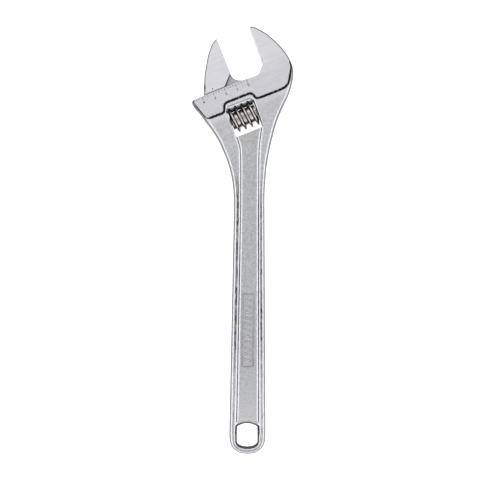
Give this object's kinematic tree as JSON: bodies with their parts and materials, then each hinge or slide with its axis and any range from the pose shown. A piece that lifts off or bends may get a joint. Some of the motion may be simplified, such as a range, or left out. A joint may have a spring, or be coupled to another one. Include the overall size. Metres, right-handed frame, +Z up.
{
  "type": "adjustable wrench",
  "caption": "Open-ended adjustable wrench: forged body with a fixed jaw, a sliding jaw on a toothed bar, a worm screw that moves it, and a long channelled handle with a hanging hole.",
  "frame": {"origin": "middle of the bounding box's underside, on the surface that the wrench lies on", "axes": "+Y along the handle towards the head, +Z up through the thickness, +X towards the fixed jaw's side"},
  "size_m": [0.1082, 0.4574, 0.0274],
  "materials": {
    "chrome_forging": "satin chrome plate over a forged surface",
    "worm_steel": "machined and oiled",
    "pin_steel": "turned",
    "spring_steel": "drawn spring wire"
  },
  "bodies": {
    "frame": {"body": "chrome_forging", "worm_pin": "pin_steel", "worm_spring": "spring_steel"},
    "jaw": {"sliding_jaw": "chrome_forging"},
    "worm": {"worm": "worm_steel"}
  },
  "joints": [
    {"name": "jaw_slide", "type": "slide", "parent": "frame", "child": "jaw", "axis": [0.9272, 0.3746, 0], "range_m": [-0.0153, 0.0368]},
    {"name": "worm_spin", "type": "hinge", "parent": "frame", "child": "worm", "pos_m": [0.00159, 0.1325, 0.0137], "axis": [0.9272, 0.3746, 0], "range_deg": [-1850, 775]}
  ],
  "couplings": [
    {"joint": "worm_spin", "follows": "jaw_slide", "rad_per_m": -872.66}
  ]
}
